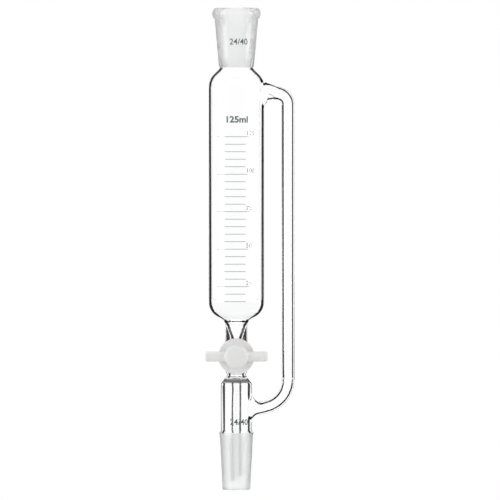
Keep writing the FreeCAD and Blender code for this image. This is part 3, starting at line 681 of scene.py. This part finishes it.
def glass_kind(place, normal):
    """The kind of glass that a face has."""
    x, y, z = place
    radius, outward = outwardness(place, normal)
    if z < LIP_TOP and outward > STEEP_FACE and radius > TAPER_SMALL - GROUND_INSIDE:
        return GROUND
    if z > SOCKET_FOOT and outward < -STEEP_FACE and radius < TAPER_LARGE + GROUND_OUTSIDE:
        return GROUND
    low, high, wall, slope = near_mouth(place)
    beside = -FUSED_INSIDE < x - wall < FUSED_REACH
    if beside and low - FUSED_REACH < z < high + FUSED_REACH:
        return FUSED
    inner = outward < 0.0 and not on_arm(place)
    if inner and any(first < z < last for first, last in (SEAL_FUSED, NECK_FUSED)):
        return FUSED
    return CLEAR


def dress_glass():
    """Glass body with its three kinds of glass and what its painted shade lines need at each point.
    """
    mesh = own_mesh("glass_body", "glass", "funnel", GLASS_SMOOTH_ANGLE).data
    add_points(mesh)
    for kind in GLASS_KINDS:
        mesh.materials.append(kind)
    names = ("line_start", "line_end", "rim_start", "rim_end", "line_depth", "rim_depth")
    for name in names:
        mesh.attributes.new(name, "FLOAT", "POINT")
    mesh.attributes.new("tube_axis", "FLOAT_VECTOR", "POINT")
    lines = [mesh.attributes[name].data for name in names]
    axes = mesh.attributes["tube_axis"].data
    for index, vertex in enumerate(mesh.vertices):
        place = vertex.co / MM
        look = wall_line(place, vertex.normal) + line_depth(place.z)
        for line, setting in zip(lines, look):
            line[index].value = setting
        axes[index].vector = tube_axis(place)
    for face in mesh.polygons:
        face.material_index = GLASS_KINDS.index(glass_kind(face.center / MM, face.normal))


dress_glass()

for node, slot, material in (
    ("stopcock_plug", "plug_plastic", HANDLE_PLASTIC),
    ("washer", "washer_plastic", WASHER_PLASTIC),
    ("rubber_ring", "ring_rubber", RUBBER),
    ("nut", "nut_plastic", NUT_PLASTIC),
):
    piece = own_mesh(node, f"{node}_finished", "stopcock")
    piece.data.materials.append(material)


# Printed marks, wrapped round the glass

# Print: how far it stands off the glass and how closely its letters and bars are cut to bend
# round it, in millimetres, and how much of a text's size its capitals take
PRINT_LIFT = 0.03
CUT_EVERY = 0.6
BAR_PARTS = 40
CAPITAL_SHARE = 0.73

# Scale, from its top mark down: heights and steps in millimetres, volumes in millilitres
FULL_MARK = 255.4
MARK_STEP = 5.415
MARK_COUNT = 23
FULL_VOLUME = 125
MARK_VOLUME = 5
NUMBER_EVERY = 5
LAST_NUMBERED = 20

# Left and right ends of its bars and left ends of its numbers, as seen from the front
LONG_BAR = (-13.6, 10.9)
SHORT_BAR = (-8.9, 6.7)
BAR_THICKNESS = 0.34
NUMBER_LEFT = 6.9
NUMBER_RISE = 1.0
NUMBER_CAPITAL = 3.5

# Socket: height of the bead under its rim, and height and radius at the small and the large
# end of the cone below the bead, in millimetres
BEAD_HEIGHT = 7.9
SOCKET_LOW = (307.0, 12.75)
SOCKET_HIGH = (RIM - BEAD_HEIGHT, 15.7)


def reservoir_at(z):
    return RESERVOIR_RADIUS


def socket_at(z):
    """Outer radius of the socket's cone at a height."""
    (low, small), (high, large) = SOCKET_LOW, SOCKET_HIGH
    return small + (z - low) * (large - small) / (high - low)


def jacket_at(z):
    return JACKET_RADIUS


def wrap(piece, radius_at, height):
    """Bends a flat mark, drawn in x (arc length) and z, onto the front of the glass."""
    for vertex in piece.data.vertices:
        arc, _, up = vertex.co / MM
        z = height + up
        radius = radius_at(z) + PRINT_LIFT
        angle = arc / radius
        vertex.co = Vector((radius * math.sin(angle), -radius * math.cos(angle), z)) * MM


def settle_mark(piece):
    piece.data.materials.clear()
    piece.data.materials.append(ENAMEL)
    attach(piece, "funnel")


def arc_length(x, radius):
    """Length round the glass from its middle to a width as seen from the front."""
    return radius * math.asin(x / radius)


def bar_mark(name, ends, height):
    """Thin line round the reservoir between two widths as seen from the front."""
    low, high = (arc_length(end, RESERVOIR_RADIUS) for end in ends)
    deselect()
    bpy.ops.mesh.primitive_grid_add(x_subdivisions=BAR_PARTS, y_subdivisions=1, size=1.0)
    piece = bpy.context.object
    piece.name = name
    piece.data.name = name
    for vertex in piece.data.vertices:
        x, y, _ = vertex.co
        vertex.co = Vector((low + (x + 0.5) * (high - low), 0.0, y * BAR_THICKNESS)) * MM
    wrap(piece, reservoir_at, height)
    settle_mark(piece)


def text_mark(name, words, radius_at, left, height, capital, weight=0.0, stretch=1.0):
    """Words or numbers whose left end and height are as seen from the front."""
    deselect()
    bpy.ops.object.text_add()
    piece = bpy.context.object
    piece.data.body = words
    piece.data.size = capital / CAPITAL_SHARE * MM
    piece.data.offset = weight * MM
    bpy.ops.object.convert(target="MESH")
    piece = bpy.context.object
    piece.name = name
    piece.data.name = name
    width = stretch * max(vertex.co.x for vertex in piece.data.vertices)
    for vertex in piece.data.vertices:
        vertex.co.x *= stretch
    form = bmesh.new()
    form.from_mesh(piece.data)
    cut = CUT_EVERY * MM
    while cut < width:
        bmesh.ops.bisect_plane(
            form, geom=form.verts[:] + form.edges[:] + form.faces[:],
            plane_co=(cut, 0, 0), plane_no=(1, 0, 0),
        )
        cut += CUT_EVERY * MM
    form.to_mesh(piece.data)
    form.free()
    offset = arc_length(left, radius_at(height)) * MM
    for vertex in piece.data.vertices:
        x, y, _ = vertex.co
        vertex.co = Vector((x + offset, 0.0, y))
    wrap(piece, radius_at, height)
    settle_mark(piece)


for step in range(MARK_COUNT):
    height = FULL_MARK - step * MARK_STEP
    if step % NUMBER_EVERY == 0 and step <= LAST_NUMBERED:
        number = str(FULL_VOLUME - step * MARK_VOLUME)
        bar_mark(f"mark_long_{step}", LONG_BAR, height)
        text_mark(
            f"mark_number_{step}", number, reservoir_at, left=NUMBER_LEFT,
            height=height + NUMBER_RISE, capital=NUMBER_CAPITAL,
        )
    else:
        bar_mark(f"mark_short_{step}", SHORT_BAR, height)
text_mark(
    "mark_volume", "125ml", reservoir_at, left=-8.2, height=265.8, capital=4.6, weight=0.2,
    stretch=1.1,
)
text_mark("mark_socket", "24/40", socket_at, left=-5.0, height=322.2, capital=4.4, weight=0.06)
text_mark(
    "mark_joint", "24/40", jacket_at, left=-4.8, height=47.2, capital=4.2, weight=0.1,
    stretch=1.08,
)


# Floor, world, lamps and camera

# Floor: how far it is below the joint's end, in millimetres, its size in metres, its glow for
# the camera and through glass, and its colour as it is and as a reflection sees it
FLOOR_DROP = 120.0
FLOOR_SIZE = 6.0
FLOOR_GLOW = 0.43
PALE = (0.86, 0.86, 0.86)
DARK = (0.12, 0.12, 0.12)

# World: how bright it is for diffuse light, how much of a reflection the dark screen leaves,
# and the y of the two directions between which the screen sets in
ROOM_LEVEL = 0.68
SCREEN_LEVEL = 0.12
SCREEN_EDGE = (0.35, 0.6)


def seen_white(tree):
    """Whether a ray comes from the camera, through glass or off a glossy surface."""
    path = add(tree, "ShaderNodeLightPath")
    seen = maths(
        tree, "MAXIMUM", path.outputs["Is Camera Ray"], path.outputs["Is Transmission Ray"]
    )
    return maths(tree, "MAXIMUM", seen, path.outputs["Is Glossy Ray"])


def reflected(tree):
    """Whether a ray was thrown back by a surface, and not let through it."""
    path = add(tree, "ShaderNodeLightPath")
    return maths(
        tree, "SUBTRACT", path.outputs["Is Glossy Ray"], path.outputs["Is Transmission Ray"],
        clamp=True,
    )


def make_world():
    """White all round, with a dark screen behind the funnel that only reflections see."""
    world = bpy.data.worlds.new("studio")
    bpy.context.scene.world = world
    world.use_nodes = True
    tree = world.node_tree
    tree.nodes.clear()
    level = between(tree, seen_white(tree), 0.0, 1.0, ROOM_LEVEL, 1.0)
    way = add(tree, "ShaderNodeTexCoord")
    parts = add(tree, "ShaderNodeSeparateXYZ")
    tree.links.new(way.outputs["Generated"], parts.inputs[0])
    behind = between(tree, parts.outputs["Y"], *SCREEN_EDGE)
    screened = maths(tree, "MULTIPLY", behind, reflected(tree))
    level = maths(tree, "MULTIPLY", level, between(tree, screened, 0.0, 1.0, 1.0, SCREEN_LEVEL))
    background = add(tree, "ShaderNodeBackground")
    background.inputs["Color"].default_value = (1.0, 1.0, 1.0, 1.0)
    tree.links.new(level, background.inputs["Strength"])
    output = add(tree, "ShaderNodeOutputWorld")
    tree.links.new(background.outputs[0], output.inputs["Surface"])


def make_floor():
    """Pale floor that keeps the funnel's shadow, and dark where a surface reflects it."""
    deselect()
    bpy.ops.mesh.primitive_grid_add(size=FLOOR_SIZE, x_subdivisions=4, y_subdivisions=4)
    floor = bpy.context.object
    floor.name = "floor"
    for vertex in floor.data.vertices:
        vertex.co.z = -FLOOR_DROP * MM
    material = new_material("pale_floor")
    tree = material.node_tree
    off = reflected(tree)
    colour = blend_colour(tree, off, PALE, DARK)
    glow = maths(tree, "MULTIPLY", maths(tree, "SUBTRACT", seen_white(tree), off), FLOOR_GLOW)
    surface(
        tree, Base_Color=colour, Roughness=0.9, Specular_IOR_Level=0.0,
        Emission_Color=WHITE, Emission_Strength=glow,
    )
    floor.data.materials.append(material)


def make_lamp(name, place, size, power):
    """Square lamp that looks at the funnel's middle; place and size are in metres."""
    lamp = bpy.data.lights.new(name, "AREA")
    lamp.shape = "SQUARE"
    lamp.size = size
    lamp.energy = power
    holder = bpy.data.objects.new(name, lamp)
    bpy.context.scene.collection.objects.link(holder)
    holder.location = place
    aim = Vector((0.0, 0.0, FRAME_CENTRE_Z * MM)) - Vector(place)
    holder.rotation_euler = aim.to_track_quat("-Z", "Y").to_euler()


def make_camera():
    """Long lens that looks straight at the funnel, as in the photo."""
    camera = bpy.data.cameras.new("camera")
    camera.lens = LENS
    camera.sensor_width = SENSOR
    distance = FRAME_WIDTH * MM * LENS / SENSOR
    holder = bpy.data.objects.new("camera", camera)
    bpy.context.scene.collection.objects.link(holder)
    holder.location = (FRAME_CENTRE_X * MM, -distance, FRAME_CENTRE_Z * MM)
    holder.rotation_euler = (math.pi / 2, 0.0, 0.0)
    camera.clip_end = FAR_CLIP
    bpy.context.scene.camera = holder


make_world()
make_floor()
make_lamp("lamp_left", place=(-1.2, -0.5, 0.35), size=0.7, power=5.0)
make_lamp("lamp_right", place=(1.2, -0.4, 0.4), size=0.7, power=4.0)
make_lamp("lamp_top", place=(0.0, 0.2, 1.5), size=0.8, power=6.0)
make_camera()
bpy.context.scene.view_settings.view_transform = "Standard"
